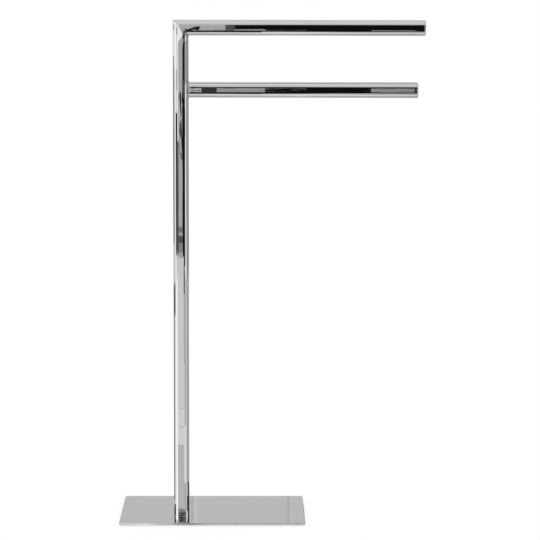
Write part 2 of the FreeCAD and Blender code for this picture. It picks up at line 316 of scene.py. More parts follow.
def two_tone_material(name, patch, detail, first, second):
    """New material with a colour that drifts between two tones in patches of a size.

    Gives the material, its tree, the place on the piece, the drift and the colour.
    """
    material, tree = new_material(name)
    place = add_node(tree, "ShaderNodeTexCoord").outputs["Object"]
    drift = add_node(tree, "ShaderNodeTexNoise", [("Vector", place)], Scale=1 / patch,
                     Detail=detail)
    colour = add_node(tree, "ShaderNodeMix", [("Factor", drift)], data_type="RGBA")
    colour.inputs[6].default_value = linear(first)
    colour.inputs[7].default_value = linear(second)
    return material, tree, place, drift, colour.outputs[2]


def bright_chrome(name, wave_size, wave_height, roughness, joint=None):
    """Bright chrome over polished steel: a mirror a little darker than silver.

    Polishing leaves shallow waves that bend the reflections, long the way the mop ran, and haze.
    A joint is the direction, place and height of a low swell that is left along a dressed weld.
    """
    material, tree, place, _, colour = two_tone_material(name, 60 * MM, 2.0, CHROME_SHADE, CHROME_FACE)
    haze = add_node(tree, "ShaderNodeTexNoise", [("Vector", place)], Scale=1 / (14 * MM), Detail=4.0)
    gloss = add_node(tree, "ShaderNodeMapRange", [("Value", haze)], From_Min=0.3, From_Max=0.7,
                     To_Min=roughness * 0.6, To_Max=roughness * 1.5)
    stretched = add_node(tree, "ShaderNodeMapping", [("Vector", place)],
                         Scale=[1 / length for length in wave_size])
    waves = add_node(tree, "ShaderNodeTexNoise", [("Vector", stretched)], Scale=1.0, Detail=1.0)
    bump = add_node(tree, "ShaderNodeBump", [("Height", waves)], Strength=1.0, Distance=wave_height)
    if joint:
        bump = joint_swell(tree, place, bump, *joint)
    chrome = add_node(tree, "ShaderNodeBsdfPrincipled",
                      [("Base Color", colour), ("Roughness", gloss), ("Normal", bump)],
                      Metallic=1.0)
    add_node(tree, "ShaderNodeOutputMaterial", [("Surface", chrome)])
    return material


def soften_below(material, height, roughness):
    """Makes a chromed piece satin below a height, as on a cut edge that the mop hardly reached."""
    tree = material.node_tree
    place = add_node(tree, "ShaderNodeTexCoord").outputs["Object"]
    here = add_node(tree, "ShaderNodeSeparateXYZ", [(0, place)]).outputs["Z"]
    below = add_node(tree, "ShaderNodeMath", [(0, here), (1, height)], operation="LESS_THAN")
    chrome = next(node for node in tree.nodes if node.type == "BSDF_PRINCIPLED")
    polished = chrome.inputs["Roughness"].links[0].from_socket
    gloss = add_node(tree, "ShaderNodeMix", [(0, below), (2, polished), (3, roughness)])
    tree.links.new(gloss.outputs[0], chrome.inputs["Roughness"])


def joint_swell(tree, place, normal, direction, point, height):
    """Bump that swells by the height over a plane through the point, and dies out to both sides."""
    away = add_node(tree, "ShaderNodeVectorMath", [(0, place), (1, point)], operation="SUBTRACT")
    across = Vector(direction).normalized() / JOINT_SWELL_REACH
    distance = add_node(tree, "ShaderNodeVectorMath", [(0, away), (1, across)],
                        operation="DOT_PRODUCT").outputs["Value"]
    square = add_node(tree, "ShaderNodeMath", [(0, distance), (1, distance)], operation="MULTIPLY")
    fall = add_node(tree, "ShaderNodeMath", [(0, square), (1, -1)], operation="MULTIPLY")
    swell = add_node(tree, "ShaderNodeMath", [(0, fall)], operation="EXPONENT")
    return add_node(tree, "ShaderNodeBump", [("Height", swell), ("Normal", normal)], Strength=1.0,
                    Distance=height)


def rounded_rectangle(half_x, half_y, radius, centre, steps):
    """Points round a rectangle with round corners, anticlockwise from above."""
    points = []
    for quarter, (side_x, side_y) in enumerate([(1, 1), (-1, 1), (-1, -1), (1, -1)]):
        middle = Vector((centre.x + side_x * (half_x - radius), centre.y + side_y * (half_y - radius)))
        for step in range(steps + 1):
            angle = math.pi / 2 * (quarter + step / steps)
            points.append(middle + radius * Vector((math.cos(angle), math.sin(angle))))
    return points


def circle(centre, radius, steps=48):
    """Points round a circle, anticlockwise from above."""
    turns = [2 * math.pi * step / steps for step in range(steps)]
    return [centre + radius * Vector((math.cos(turn), math.sin(turn))) for turn in turns]


def add_ring(mesh, points, height):
    """Closed loop of vertices at one height."""
    return [mesh.verts.new((point.x, point.y, height)) for point in points]


def join_rings(mesh, lower, upper, inward=False):
    """Band of faces between two loops; it faces away from their middle, or towards it."""
    for here in range(len(lower)):
        after = (here + 1) % len(lower)
        corners = [lower[here], lower[after], upper[after], upper[here]]
        mesh.faces.new(corners[::-1] if inward else corners)


def fill_between(mesh, loops, upward):
    """Flat face inside the first loop and outside the others."""
    edges = []
    for loop in loops:
        edges += [mesh.edges.get((loop[i - 1], loop[i])) for i in range(len(loop))]
    filled = bmesh.ops.triangle_fill(mesh, edges=edges, use_beauty=True, use_dissolve=False)
    for face in filled["geom"]:
        if isinstance(face, bmesh.types.BMFace):
            face.normal_update()
            if (face.normal.z > 0) != upward:
                face.normal_flip()


def finish_mesh(name, mesh, material, sharp_angle=35):
    """Object from an edit mesh: smooth, with sharp edges kept where faces meet at an angle."""
    for face in mesh.faces:
        face.smooth = True
    for edge in mesh.edges:
        if len(edge.link_faces) == 2:
            edge.smooth = edge.calc_face_angle() < math.radians(sharp_angle)
    piece = mesh_object(name, [], [], material)
    mesh.to_mesh(piece.data)
    mesh.free()
    return piece


def plate_side():
    """Inset and height up the plate's edge: flat underside, chamfer, face, round and flat top."""
    flat_border = 0.1 * MM
    side = [(PLATE_LOWER_CHAMFER + flat_border, plate_low.z), (PLATE_LOWER_CHAMFER, plate_low.z),
            (0, plate_low.z + PLATE_LOWER_CHAMFER)]
    for angle in EDGE_TURNS:
        side.append((PLATE_TOP_RADIUS * (1 - math.cos(angle)),
                     plate_high.z - PLATE_TOP_RADIUS * (1 - math.sin(angle))))
    side.append((PLATE_TOP_RADIUS + flat_border, plate_high.z))
    return side


def base_plate(material):
    """Rounded plate with the two countersunk screw holes."""
    mesh = bmesh.new()
    centre = (plate_low + plate_high) / 2
    half = (plate_high - plate_low) / 2
    rings = []
    for inset, height in plate_side():
        outline = rounded_rectangle(half.x - inset, half.y - inset, PLATE_CORNER_RADIUS - inset,
                                    centre, CORNER_STEPS)
        rings.append(add_ring(mesh, outline, height))
    for lower, upper in zip(rings, rings[1:]):
        join_rings(mesh, lower, upper)
    mouths, exits = [], []
    for screw in ("base_screw_1", "base_screw_2"):
        screw_low, screw_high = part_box(screw)
        axis = ((screw_low + screw_high) / 2).to_2d()
        walls = [add_ring(mesh, circle(axis, radius), height) for radius, height in HOLE_WALL]
        for lower, upper in zip(walls, walls[1:]):
            join_rings(mesh, lower, upper, inward=True)
        mouths.append(walls[0])
        exits.append(walls[-1])
    fill_between(mesh, [rings[0]] + mouths, upward=False)
    fill_between(mesh, [rings[-1]] + exits, upward=True)
    return finish_mesh("chromed_base_plate", mesh, material)


plate_chrome = bright_chrome("bright_chrome_on_polished_sheet", PLATE_WAVES, PLATE_WAVE_HEIGHT,
                             PLATE_ROUGHNESS)
soften_below(plate_chrome, plate_high.z - CUT_EDGE_BELOW_TOP, CUT_EDGE_ROUGHNESS)
plate = base_plate(plate_chrome)
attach(plate, "root")
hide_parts("base_plate")


# ---------------------------------------------------------------- anti-slip pads
# Four round pads die cut from black rubber sheet and stuck under the plate's corners.
# The cut rim is square above and a little soft below, and the face keeps the sheet's grain.
PAD_RIM = 0.3 * MM
PAD_BLACK = "1B1B1C"
PAD_DUST = "2A2A2B"
pad_low, pad_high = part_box("anti_slip_pad_1")
far_pad_low, far_pad_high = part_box("anti_slip_pad_4")


def pad_rubber():
    """Matt black rubber: nearly no sheen, a dusty grain."""
    material, tree, _, grain, colour = two_tone_material("die_cut_matt_rubber", 0.6 * MM, 3.0,
                                                         PAD_BLACK, PAD_DUST)
    bump = add_node(tree, "ShaderNodeBump", [("Height", grain)], Strength=1.0, Distance=0.05 * MM)
    rubber = add_node(tree, "ShaderNodeBsdfPrincipled", [("Base Color", colour), ("Normal", bump)],
                      Roughness=0.85, Specular_IOR_Level=0.3)
    add_node(tree, "ShaderNodeOutputMaterial", [("Surface", rubber)])
    return material


def new_shape_tree(name, numbers, **others):
    """Node tree with number inputs, inputs of other kinds and a material; gives it and its inputs."""
    tree = bpy.data.node_groups.new(name, "GeometryNodeTree")
    kinds = {**{label: "Float" for label in numbers}, **others, "Material": "Material"}
    for label, kind in kinds.items():
        tree.interface.new_socket(label, in_out="INPUT", socket_type="NodeSocket" + kind)
    tree.interface.new_socket("Geometry", in_out="OUTPUT", socket_type="NodeSocketGeometry")
    return tree, add_node(tree, "NodeGroupInput").outputs


def close_shape_tree(tree, shape, given, sharp_angle):
    """Ends a tree: smooth but for edges past an angle, realised, and given its material."""
    smooth = add_node(tree, "GeometryNodeSetShadeSmooth", [("Geometry", shape)])
    angle = add_node(tree, "GeometryNodeInputMeshEdgeAngle").outputs["Unsigned Angle"]
    is_sharp = add_node(tree, "FunctionNodeCompare", [(0, angle), (1, math.radians(sharp_angle))],
                        operation="GREATER_THAN")
    sharp = add_node(tree, "GeometryNodeSetShadeSmooth",
                     [("Geometry", smooth), ("Selection", is_sharp), ("Shade Smooth", False)],
                     domain="EDGE")
    real = add_node(tree, "GeometryNodeRealizeInstances", [("Geometry", sharp)])
    painted = add_node(tree, "GeometryNodeSetMaterial",
                       [("Geometry", real), ("Material", given["Material"])])
    add_node(tree, "NodeGroupOutput", [("Geometry", painted)])


def made_by_nodes(name, tree, **sizes):
    """Plain mesh object made by a node tree with these inputs."""
    piece = mesh_object(name, [], [])
    modifier = piece.modifiers.new("shape", "NODES")
    modifier.node_group = tree
    for item in tree.interface.items_tree:
        if item.in_out == "INPUT":
            modifier[item.identifier] = sizes[item.name.replace(" ", "_")]
    bpy.context.view_layer.update()
    evaluated = piece.evaluated_get(bpy.context.evaluated_depsgraph_get())
    mesh = bpy.data.meshes.new_from_object(evaluated)
    piece.modifiers.remove(modifier)
    piece.data = mesh
    return piece


def pad_tree():
    """A turned pad at each corner of a rectangle: a disc, its conical rim and its wall."""
    tree, given = new_shape_tree("pads_under_corners", [
        "Spacing X", "Spacing Y", "Face Radius", "Growth", "Rim", "Wall Height"], Middle="Vector")
    corners = add_node(tree, "GeometryNodeMeshGrid",
                       [("Size X", given["Spacing X"]), ("Size Y", given["Spacing Y"])],
                       Vertices_X=2, Vertices_Y=2)
    disc = add_node(tree, "GeometryNodeMeshCircle", [("Radius", given["Face Radius"])], Vertices=64,
                    fill_type="NGON")
    down = add_node(tree, "GeometryNodeFlipFaces", [("Mesh", disc)])
    chamfer = add_node(tree, "GeometryNodeExtrudeMesh",
                       [("Mesh", disc), ("Offset Scale", given["Rim"])], mode="FACES")
    wider = add_node(tree, "GeometryNodeScaleElements",
                     [("Geometry", chamfer.outputs["Mesh"]), ("Selection", chamfer.outputs["Top"]),
                      ("Scale", given["Growth"])])
    body = add_node(tree, "GeometryNodeExtrudeMesh",
                    [("Mesh", wider), ("Selection", chamfer.outputs["Top"]),
                     ("Offset Scale", given["Wall Height"])], mode="FACES")
    closed = add_node(tree, "GeometryNodeJoinGeometry", [(0, body), (0, down)])
    merged = add_node(tree, "GeometryNodeMergeByDistance", [("Geometry", closed)],
                      Distance=0.001 * MM)
    placed = add_node(tree, "GeometryNodeInstanceOnPoints",
                      [("Points", corners), ("Instance", merged)])
    moved = add_node(tree, "GeometryNodeTransform",
                     [("Geometry", placed), ("Translation", given["Middle"])])
    close_shape_tree(tree, moved, given, sharp_angle=60)
    return tree


pad_radius = (pad_high.x - pad_low.x) / 2
pads = made_by_nodes("anti_slip_pads", pad_tree(),
                     Spacing_X=far_pad_high.x - pad_high.x, Spacing_Y=far_pad_high.y - pad_high.y,
                     Middle=((pad_low.x + far_pad_high.x) / 2, 0, 0), Face_Radius=pad_radius - PAD_RIM,
                     Growth=pad_radius / (pad_radius - PAD_RIM), Rim=PAD_RIM,
                     Wall_Height=pad_high.z - pad_low.z - PAD_RIM, Material=pad_rubber())
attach(pads, "root")
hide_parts("anti_slip_pad_1", "anti_slip_pad_2", "anti_slip_pad_3", "anti_slip_pad_4")


# ---------------------------------------------------------------- post tube
# The upright: rounded-square steel tube, cut square at the foot and mitred at the top,
# welded to the upper arm, ground flush, polished lengthwise and chromed as one frame.
TUBE_WIDTH = 25 * MM
TUBE_CORNER_RADIUS = 8 * MM
TUBE_WALL = 1.5 * MM
TUBE_CROWN = 0.3 * MM  # how far a flat would bulge from corner to corner, as drawn tube does
JOINT_EDGE_RADIUS = 0.1 * MM
FREE_EDGE_RADIUS = 0.25 * MM  # filed round where a cap is pushed in
SECTION_POINTS = 192
TUBE_WAVE_HEIGHT = 0.022 * MM
TUBE_ROUGHNESS = 0.015
half_tube = TUBE_WIDTH / 2
crown_bend = TUBE_CROWN / half_tube ** 3  # draws a flat in by the whole crown at its two ends
post_low, post_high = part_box("post_tube")
post_axis = (post_low + post_high) / 2


def tube_tree():
    """Tube wall swept round a rounded square: its flats crowned and its two ends cut at slopes."""
    tree, given = new_shape_tree("rounded_square_tube", [
        "Middle Width", "Middle Radius", "Wall", "Crown Bend", "Start Edge Radius", "End Edge Radius",
        "Start", "End", "Start Slope", "End Slope"], Place="Vector", Turn="Rotation", Points="Int")
    here = add_node(tree, "ShaderNodeSeparateXYZ",
                    [(0, add_node(tree, "GeometryNodeInputPosition"))]).outputs

    def by_end(along, name):
        """The named input for the tube's end, or the one for its start on the other side of 0."""
        past_middle = add_node(tree, "FunctionNodeCompare", [(0, along), (1, 0.0)],
                               operation="GREATER_THAN")
        return add_node(tree, "GeometryNodeSwitch",
                        [("Switch", past_middle), ("False", given["Start " + name]),
                         ("True", given["End " + name])], input_type="FLOAT")

    def crowned(along, across):
        """The coordinate along one flat's normal, drawn in towards the flat's ends."""
        square = add_node(tree, "ShaderNodeMath", [(0, across), (1, across)], operation="MULTIPLY")
        lost = add_node(tree, "ShaderNodeMath", [(0, square), (1, given["Crown Bend"])],
                        operation="MULTIPLY")
        share = add_node(tree, "ShaderNodeMath", [(0, 1.0), (1, lost)], operation="SUBTRACT")
        return add_node(tree, "ShaderNodeMath", [(0, along), (1, share)], operation="MULTIPLY")

    square = add_node(tree, "GeometryNodeCurvePrimitiveQuadrilateral",
                      [("Width", given["Middle Width"]), ("Height", given["Middle Width"])])
    rounded = add_node(tree, "GeometryNodeFilletCurve",
                       [("Curve", square), ("Radius", given["Middle Radius"])], mode="POLY",
                       Count=32)
    path = add_node(tree, "GeometryNodeResampleCurve",
                    [("Curve", rounded), ("Count", given["Points"])])
    upright = add_node(tree, "GeometryNodeSetCurveNormal", [("Curve", path)], mode="Z_UP")
    length = add_node(tree, "ShaderNodeMath", [(0, given["End"]), (1, given["Start"])],
                      operation="SUBTRACT")
    wall = add_node(tree, "GeometryNodeCurvePrimitiveQuadrilateral",
                    [("Width", given["Wall"]), ("Height", length)])
    eased = add_node(tree, "GeometryNodeFilletCurve",
                     [("Curve", wall), ("Radius", by_end(here["Y"], "Edge Radius"))], mode="POLY",
                     Count=4)
    swept = add_node(tree, "GeometryNodeCurveToMesh",
                     [("Curve", upright), ("Profile Curve", eased)])
    middle = add_node(tree, "ShaderNodeMath", [(0, length), (1, 0.5), (2, given["Start"])],
                      operation="MULTIPLY_ADD")
    level = add_node(tree, "ShaderNodeMath", [(0, here["Z"]), (1, middle)], operation="ADD")
    sloped = add_node(tree, "ShaderNodeMath", [(0, here["X"]), (1, by_end(here["Z"], "Slope")),
                                               (2, level)], operation="MULTIPLY_ADD")
    moved = add_node(tree, "ShaderNodeCombineXYZ",
                     [("X", crowned(here["X"], here["Y"])), ("Y", crowned(here["Y"], here["X"])),
                      ("Z", sloped)])
    shaped = add_node(tree, "GeometryNodeSetPosition", [("Geometry", swept), ("Position", moved)])
    placed = add_node(tree, "GeometryNodeTransform",
                      [("Geometry", shaped), ("Translation", given["Place"]),
                       ("Rotation", given["Turn"])])
    close_shape_tree(tree, placed, given, sharp_angle=8)
    return tree


rounded_square_tube = tube_tree()
TUBE = {"Middle_Width": TUBE_WIDTH - TUBE_WALL, "Middle_Radius": TUBE_CORNER_RADIUS - TUBE_WALL / 2,
        "Wall": TUBE_WALL, "Crown_Bend": crown_bend, "Start_Edge_Radius": JOINT_EDGE_RADIUS,
        "Points": SECTION_POINTS}
UPRIGHT = (0.0, 0.0, 0.0)
ALONG_ARM = (0.0, math.pi / 2, 0.0)
ALONG_POST_WAVES = (15 * MM, 15 * MM, 120 * MM)
ALONG_ARM_WAVES = (120 * MM, 15 * MM, 15 * MM)
MITRE_POINT = (post_axis.x, post_axis.y, post_high.z - half_tube)
MITRE_SWELL = ((1, 0, 1), MITRE_POINT, 0.4 * MM)  # direction across, place and height
post_chrome = bright_chrome("bright_chrome_on_post_tube", ALONG_POST_WAVES, TUBE_WAVE_HEIGHT,
                            TUBE_ROUGHNESS, MITRE_SWELL)
arm_chrome = bright_chrome("bright_chrome_on_arm_tube", ALONG_ARM_WAVES, TUBE_WAVE_HEIGHT,
                           TUBE_ROUGHNESS, MITRE_SWELL)

post = made_by_nodes("chromed_post", rounded_square_tube, **TUBE,
                     Start=post_low.z, End=post_high.z - half_tube, Start_Slope=0.0,
                     End_Slope=-1.0, End_Edge_Radius=JOINT_EDGE_RADIUS, Turn=UPRIGHT,
                     Place=(post_axis.x, post_axis.y, 0), Material=post_chrome)
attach(post, "root")
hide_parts("post_tube")


# ---------------------------------------------------------------- upper arm
# The long towel arm: the same tube, mitred to the post and welded there, and cut square
# at its free end, where a cap closes it.
upper_low, upper_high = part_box("upper_arm_tube")
upper_centre = (upper_low + upper_high) / 2
upper_arm = made_by_nodes("chromed_upper_arm", rounded_square_tube, **TUBE,
                          Start=post_axis.x, End=upper_high.x, Start_Slope=1.0, End_Slope=0.0,
                          End_Edge_Radius=FREE_EDGE_RADIUS, Turn=ALONG_ARM, Material=arm_chrome,
                          Place=(0, upper_centre.y, upper_centre.z))
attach(upper_arm, "root")
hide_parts("upper_arm_tube")


# ---------------------------------------------------------------- lower arm
# The short towel arm: the same tube cut square at both ends. Its root is butted on the post's
# side and welded all round, and a cap closes its free end.
lower_low, lower_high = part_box("lower_arm_tube")
lower_centre = (lower_low + lower_high) / 2
ROOT_SWELL = ((1, 0, 0), tuple(lower_low), 0.12 * MM)
lower_chrome = bright_chrome("bright_chrome_on_butted_arm", ALONG_ARM_WAVES, TUBE_WAVE_HEIGHT,
                             TUBE_ROUGHNESS, ROOT_SWELL)
lower_arm = made_by_nodes("chromed_lower_arm", rounded_square_tube, **TUBE,
                          Start=lower_low.x, End=lower_high.x, Start_Slope=0.0, End_Slope=0.0,
                          End_Edge_Radius=FREE_EDGE_RADIUS, Turn=ALONG_ARM, Material=lower_chrome,
                          Place=(0, lower_centre.y, lower_centre.z))
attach(lower_arm, "root")
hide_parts("lower_arm_tube")


# ---------------------------------------------------------------- lower arm's weld
# The weld run all round the root of the lower arm: a small hollow fillet above and below, and
# at the front and back a fuller bead that fills in over the post's round corners. TIG welded
# steel, linished until only faint ripples are left, and chromed with the frame.
WELD_LEG = 1.2 * MM
WELD_BACKSLOPE = 2.65  # how far the bead runs in under the arm for each unit of its depth
WELD_ROOT = 0.75 * MM
WELD_STATIONS = 240
WELD_PROFILE_STEPS = 8
WELD_RIPPLE = 0.035 * MM
WELD_RIPPLE_PITCH = 1.4 * MM
WELD_STIR = 0.05 * MM
WELD_HOLLOW = Vector((0.12, 0.12))  # where the bead's profile is drawn to, in legs: above, below
WELD_FULL = Vector((0.1, 0.95))  # and at the front and back
WELD_WAVES = (2 * MM, 2 * MM, 2 * MM)
post_flat = half_tube - TUBE_CORNER_RADIUS


def round_off(across):
    """How far the tube's face has dropped away at a distance from its middle."""
    past_flat = min(max(abs(across) - post_flat, 0), TUBE_CORNER_RADIUS)
    return TUBE_CORNER_RADIUS - math.sqrt(TUBE_CORNER_RADIUS ** 2 - past_flat ** 2)


def outline_stations(count):
    """Evenly spaced points on the tube's outline, each with its outward direction."""
    outline = rounded_rectangle(half_tube, half_tube, TUBE_CORNER_RADIUS, Vector((0, 0)), 60)
    lengths = [0.0]
    for before, after in zip(outline, outline[1:] + outline[:1]):
        lengths.append(lengths[-1] + (after - before).length)
    stations = []
    here = 0
    for number in range(count):
        wanted = lengths[-1] * number / count
        while lengths[here + 1] < wanted:
            here += 1
        start, end = outline[here], outline[(here + 1) % len(outline)]
        share = (wanted - lengths[here]) / max(lengths[here + 1] - lengths[here], 1e-9)
        point = start.lerp(end, share)
        core = Vector([max(-post_flat, min(post_flat, along)) for along in point])
        stations.append((point, (point - core).normalized(), wanted))
    return stations


def weld_toe(point, outward):
    """Distance out from the arm's outline at which the bead meets the post; inwards is negative."""
    inside, outside = -TUBE_CORNER_RADIUS, WELD_LEG
    for _ in range(40):
        middle = (inside + outside) / 2
        bead_depth = (WELD_LEG - middle) / WELD_BACKSLOPE
        if bead_depth > round_off(point.x + outward.x * middle):
            inside = middle
        else:
            outside = middle
    return inside


def weld_section(point, outward, along):
    """Points over the bead at one station, from the arm to the post, then the hidden root."""
    fullness = min(abs(outward.x) * 1.25, 1.0) ** 2
    reach = weld_toe(point, outward)
    sink = round_off(point.x + outward.x * reach)
    arm_toe = Vector((WELD_LEG, 0.0))
    post_toe = Vector((-sink, reach))
    middle = WELD_HOLLOW.lerp(WELD_FULL, fullness) * WELD_LEG
    ripple = WELD_RIPPLE * math.sin(2 * math.pi * along / WELD_RIPPLE_PITCH)
    stir = WELD_STIR * math.sin(along / (3.1 * MM)) * math.sin(along / (7.3 * MM) + 1)
    section = []
    for step in range(WELD_PROFILE_STEPS + 1):
        share = step / WELD_PROFILE_STEPS
        place = arm_toe * (1 - share) ** 2 + middle * 2 * share * (1 - share) + post_toe * share ** 2
        swell = (ripple + stir) * math.sin(math.pi * share)
        section.append(place + Vector((swell, swell)))
    section.append(Vector((-sink - WELD_ROOT / 2, reach - WELD_ROOT)))
    section.append(Vector((WELD_ROOT / 2, -WELD_ROOT)))
    return section


def join_sections(mesh, sections, closed):
    """Skin over a row of equal sections; the row is a closed ring, or is shut at both ends."""
    rows = [[mesh.verts.new(corner) for corner in section] for section in sections]
    for here, after in zip(rows, rows[1:] + (rows[:1] if closed else [])):
        join_rings(mesh, here, after)
    if not closed:
        mesh.faces.new(rows[0][::-1])
        mesh.faces.new(rows[-1])
    bmesh.ops.recalc_face_normals(mesh, faces=mesh.faces)


def arm_weld(material):
    """Closed ring of bead sections round the arm's outline."""
    mesh = bmesh.new()
    sections = []
    for point, outward, along in outline_stations(WELD_STATIONS):
        sections.append([Vector((lower_low.x + depth, lower_centre.y + point.x + outward.x * out,
                                 lower_centre.z + point.y + outward.y * out))
                         for depth, out in weld_section(point, outward, along)])
    join_sections(mesh, sections, closed=True)
    return finish_mesh("lower_arm_weld_bead", mesh, material, sharp_angle=50)


weld_chrome = bright_chrome("bright_chrome_on_linished_weld", WELD_WAVES, wave_height=0.01 * MM,
                            roughness=0.07)
weld_bead = arm_weld(weld_chrome)
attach(weld_bead, "root")
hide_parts("lower_arm_weld")


# ---------------------------------------------------------------- mitre weld
# A short hollow fillet in the inside corner of the mitre, the one part of that joint which a
# linishing belt can't reach. It fades out where the tubes' round corners begin.
MITRE_RUN_STEPS = 24
MITRE_FADE = 0.25
mitre_low, mitre_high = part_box("mitre_weld")


def mitre_bead(material):
    """Sections across the corner, smaller towards both ends of the run."""
    mesh = bmesh.new()
    sections = []
    for step in range(MITRE_RUN_STEPS + 1):
        share = step / MITRE_RUN_STEPS
        run = mitre_low.y + (mitre_high.y - mitre_low.y) * share
        drop = round_off(run - upper_centre.y)
        fade = min(1.0, share / MITRE_FADE, (1 - share) / MITRE_FADE)
        leg = WELD_LEG * math.sqrt(max(fade * (2 - fade), 0.02))
        leg += WELD_RIPPLE * math.sin(2 * math.pi * run / WELD_RIPPLE_PITCH) * fade
        corner = Vector((lower_low.x - drop, run, upper_low.z + drop))
        section = []
        for turn in range(WELD_PROFILE_STEPS + 1):
            angle = math.pi / 2 * turn / WELD_PROFILE_STEPS
            hollow = Vector((1 - math.sin(angle), 0, math.cos(angle) - 1))
            section.append(corner + leg * hollow)
        section.append(corner + Vector((-WELD_ROOT, 0, WELD_ROOT)))
        sections.append(section)
    join_sections(mesh, sections, closed=False)
    return finish_mesh("mitre_weld_bead", mesh, material, sharp_angle=50)


mitre = mitre_bead(weld_chrome)
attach(mitre, "root")
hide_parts("mitre_weld")


# ---------------------------------------------------------------- end caps
# Moulded plastic caps, chromed to match, pushed into the arms' ends: a flange flush with the
# tube, a hollow spigot, and three tapered grip ribs on each of its sides.
CAP_FRONT_RADIUS = 2.0 * MM
CAP_REAR_RADIUS = 0.25 * MM
CAP_SPIGOT_INSET = 2.3 * MM
CAP_CORE_INSET = 3.9 * MM
CAP_SPIGOT_EASE = 0.4 * MM
CAP_DOME = 0.25 * MM
CAP_OUTLINE_STEPS = 24
RIB_WIDTH = 1.2 * MM
RIB_SPACING = 3.5 * MM
RIB_LEAD_IN = 2 * MM


def tube_outline(inset, x, centre):
    """Ring across the arm at x: the tube's crowned outline, drawn in by the inset."""
    ring = []
    for point in rounded_rectangle(half_tube - inset, half_tube - inset, TUBE_CORNER_RADIUS - inset,
                                   Vector((0, 0)), CAP_OUTLINE_STEPS):
        across = point.x * (1 - crown_bend * point.y ** 2)
        up = point.y * (1 - crown_bend * point.x ** 2)
        ring.append(Vector((x, centre.y + across, centre.z + up)))
    return ring


def cap_profile(seat, end):
    """Inset and x from the spigot's bottom, out over its open end, the flange and the face."""
    cap_start, cap_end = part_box("upper_arm_end_cap")
    start = cap_start.x - cap_end.x + end
    profile = [(CAP_CORE_INSET, seat - 0.2 * MM), (CAP_CORE_INSET, start + 0.1 * MM),
               (CAP_CORE_INSET - 0.1 * MM, start), (CAP_SPIGOT_INSET + CAP_SPIGOT_EASE, start),
               (CAP_SPIGOT_INSET, start + CAP_SPIGOT_EASE), (CAP_SPIGOT_INSET, seat)]
    for angle in EDGE_TURNS:
        profile.append((CAP_REAR_RADIUS * (1 - math.sin(angle)),
                        seat + CAP_REAR_RADIUS * (1 - math.cos(angle))))
    for angle in EDGE_TURNS:
        profile.append((CAP_FRONT_RADIUS * (1 - math.cos(angle)),
                        end - CAP_DOME - CAP_FRONT_RADIUS * (1 - math.sin(angle))))
    for share in (0.2, 0.4, 0.6, 0.75):
        inset = CAP_FRONT_RADIUS + (TUBE_CORNER_RADIUS - CAP_FRONT_RADIUS) * share
        profile.append((inset, end - CAP_DOME * (1 - share) ** 2))
    return profile


def end_cap(name, seat, end, centre, material):
    """Cap as rings from the spigot's hollow out to the slightly domed face."""
    mesh = bmesh.new()
    rings = [tube_outline(inset, x, centre) for inset, x in cap_profile(seat, end)]
    join_sections(mesh, rings, closed=False)
    return finish_mesh(name, mesh, material, sharp_angle=40)


def rib_tree():
    """Rows of tapered ribs on the four sides of a square spigot that points along -X."""
    tree, given = new_shape_tree("cap_grip_ribs", [
        "Back", "Top Back", "Height", "Width", "Spacing", "Side Distance"], Place="Vector")
    side = add_node(tree, "GeometryNodeCurvePrimitiveQuadrilateral", mode="POINTS")
    corners = [(given["Top Back"], given["Height"]), (0.0, given["Height"]), (0.0, 0.0),
               (given["Back"], 0.0)]
    for number, (along, up) in enumerate(corners, start=1):
        point = add_node(tree, "ShaderNodeCombineXYZ", [("X", along), ("Y", up)])
        tree.links.new(point.outputs[0], side.inputs[f"Point {number}"])
    blade = add_node(tree, "GeometryNodeFillCurve", [("Curve", side)], mode="NGONS")
    prism = add_node(tree, "GeometryNodeExtrudeMesh",
                     [("Mesh", blade), ("Offset Scale", given["Width"])], mode="FACES")
    back_face = add_node(tree, "GeometryNodeFlipFaces", [("Mesh", blade)])
    closed = add_node(tree, "GeometryNodeJoinGeometry", [(0, prism), (0, back_face)])
    rib = add_node(tree, "GeometryNodeMergeByDistance", [("Geometry", closed)], Distance=0.001 * MM)
    half_width = add_node(tree, "ShaderNodeMath", [(0, given["Width"]), (1, -0.5)],
                          operation="MULTIPLY")
    to_side = add_node(tree, "ShaderNodeCombineXYZ",
                       [("Y", given["Side Distance"]), ("Z", half_width)])
    seated = add_node(tree, "GeometryNodeTransform", [("Geometry", rib), ("Translation", to_side)])
    step = add_node(tree, "ShaderNodeCombineXYZ", [("Z", given["Spacing"])])
    first = add_node(tree, "ShaderNodeVectorMath", [(0, step)], operation="SCALE", Scale=-1.0)
    row = add_node(tree, "GeometryNodeMeshLine", [("Start Location", first), ("Offset", step)],
                   Count=3)
    three = add_node(tree, "GeometryNodeInstanceOnPoints", [("Points", row), ("Instance", seated)])
    centre = add_node(tree, "GeometryNodeMeshLine",
                      [("Start Location", given["Place"]), ("Offset", (0, 0, 0))], Count=4)
    quarter = add_node(tree, "ShaderNodeMath", [(0, add_node(tree, "GeometryNodeInputIndex")),
                                                (1, math.pi / 2)], operation="MULTIPLY")
    turn = add_node(tree, "ShaderNodeCombineXYZ", [("X", quarter)])
    all_round = add_node(tree, "GeometryNodeInstanceOnPoints",
                         [("Points", centre), ("Instance", three), ("Rotation", turn)])
    close_shape_tree(tree, all_round, given, sharp_angle=20)
    return tree


